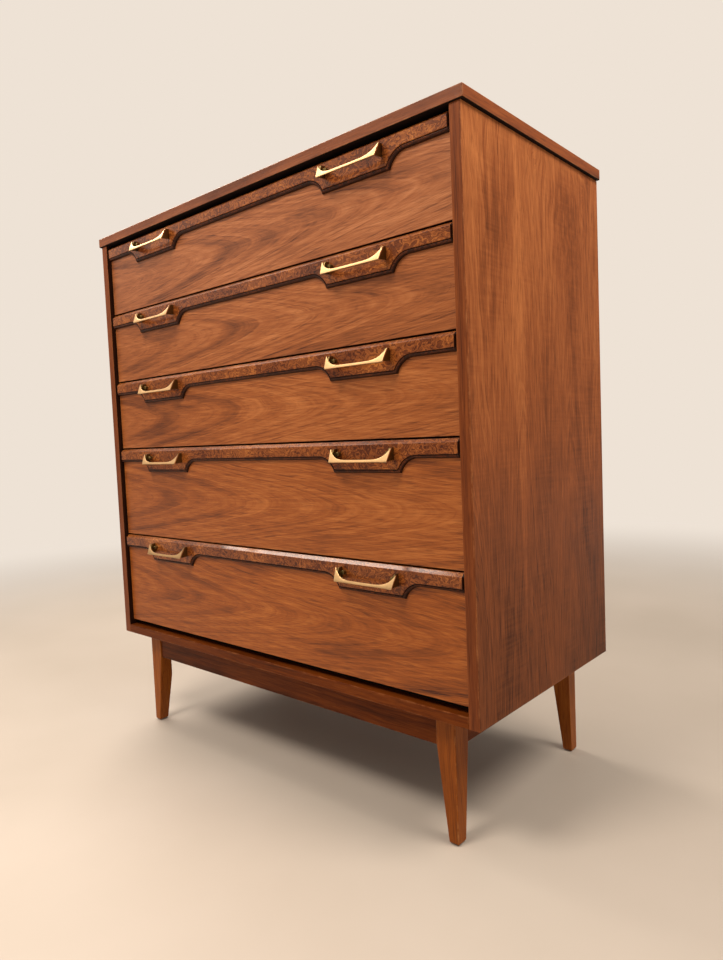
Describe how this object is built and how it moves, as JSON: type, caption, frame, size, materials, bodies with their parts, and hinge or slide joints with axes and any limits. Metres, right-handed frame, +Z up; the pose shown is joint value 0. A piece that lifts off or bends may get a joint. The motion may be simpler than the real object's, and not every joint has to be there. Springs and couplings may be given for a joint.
{
  "type": "chest of drawers",
  "caption": "Tall walnut chest of drawers with burl rails and bow pulls on a base with tapered legs, for storing clothes.",
  "frame": {"origin": "on the floor, under the centre of the dresser's box, which reaches from the fronts of the pulls to the back of the case", "axes": "+Z up, -Y out of the drawer fronts, +X to the right seen from the front"},
  "size_m": [0.978, 0.475, 1.112],
  "materials": {
    "walnut_veneer": "satin lacquered walnut veneer",
    "walnut_edge": "satin lacquered walnut edge",
    "front_walnut": "satin lacquered walnut veneer",
    "burl_walnut": "satin lacquered burl walnut",
    "base_walnut": "satin lacquered solid walnut",
    "leg_walnut": "satin lacquered solid walnut",
    "drawer_wood": "plain sealed hardwood",
    "drawer_ply": "plain sealed plywood",
    "frame_wood": "unfinished hardwood",
    "plywood": "unfinished plywood",
    "brass": "satin brass",
    "steel": "zinc-plated steel"
  },
  "bodies": {
    "case": {"top_panel": "walnut_veneer", "side_panel_left": "walnut_veneer", "side_panel_right": "walnut_veneer", "bottom_panel": "walnut_edge", "back_panel": "plywood", "top_frame": "frame_wood", "bottom_runners": "frame_wood", "apron_front": "base_walnut", "apron_rear": "base_walnut", "side_aprons": "base_walnut", "corner_blocks": "frame_wood", "glides": "steel", "divider_frame_1": "frame_wood", "divider_frame_2": "frame_wood", "divider_frame_3": "frame_wood", "divider_frame_4": "frame_wood", "leg_front_left": "leg_walnut", "leg_front_right": "leg_walnut", "leg_rear_left": "leg_walnut", "leg_rear_right": "leg_walnut"},
    "drawer_1": {"drawer_1_front": "front_walnut", "drawer_1_burl_rail": "burl_walnut", "drawer_1_sides": "drawer_wood", "drawer_1_back": "drawer_wood", "drawer_1_bottom": "drawer_ply", "drawer_1_pull_left": "brass", "drawer_1_pull_right": "brass", "drawer_1_pull_screws": "steel"},
    "drawer_2": {"drawer_2_front": "front_walnut", "drawer_2_burl_rail": "burl_walnut", "drawer_2_sides": "drawer_wood", "drawer_2_back": "drawer_wood", "drawer_2_bottom": "drawer_ply", "drawer_2_pull_left": "brass", "drawer_2_pull_right": "brass", "drawer_2_pull_screws": "steel"},
    "drawer_3": {"drawer_3_front": "front_walnut", "drawer_3_burl_rail": "burl_walnut", "drawer_3_sides": "drawer_wood", "drawer_3_back": "drawer_wood", "drawer_3_bottom": "drawer_ply", "drawer_3_pull_left": "brass", "drawer_3_pull_right": "brass", "drawer_3_pull_screws": "steel"},
    "drawer_4": {"drawer_4_front": "front_walnut", "drawer_4_burl_rail": "burl_walnut", "drawer_4_sides": "drawer_wood", "drawer_4_back": "drawer_wood", "drawer_4_bottom": "drawer_ply", "drawer_4_pull_left": "brass", "drawer_4_pull_right": "brass", "drawer_4_pull_screws": "steel"},
    "drawer_5": {"drawer_5_front": "front_walnut", "drawer_5_burl_rail": "burl_walnut", "drawer_5_sides": "drawer_wood", "drawer_5_back": "drawer_wood", "drawer_5_bottom": "drawer_ply", "drawer_5_pull_left": "brass", "drawer_5_pull_right": "brass", "drawer_5_pull_screws": "steel"}
  },
  "joints": [
    {"name": "drawer_1_slide", "type": "slide", "parent": "case", "child": "drawer_1", "axis": [0, -1, 0], "range_m": [0, 0.33]},
    {"name": "drawer_2_slide", "type": "slide", "parent": "case", "child": "drawer_2", "axis": [0, -1, 0], "range_m": [0, 0.33]},
    {"name": "drawer_3_slide", "type": "slide", "parent": "case", "child": "drawer_3", "axis": [0, -1, 0], "range_m": [0, 0.33]},
    {"name": "drawer_4_slide", "type": "slide", "parent": "case", "child": "drawer_4", "axis": [0, -1, 0], "range_m": [0, 0.33]},
    {"name": "drawer_5_slide", "type": "slide", "parent": "case", "child": "drawer_5", "axis": [0, -1, 0], "range_m": [0, 0.33]}
  ]
}
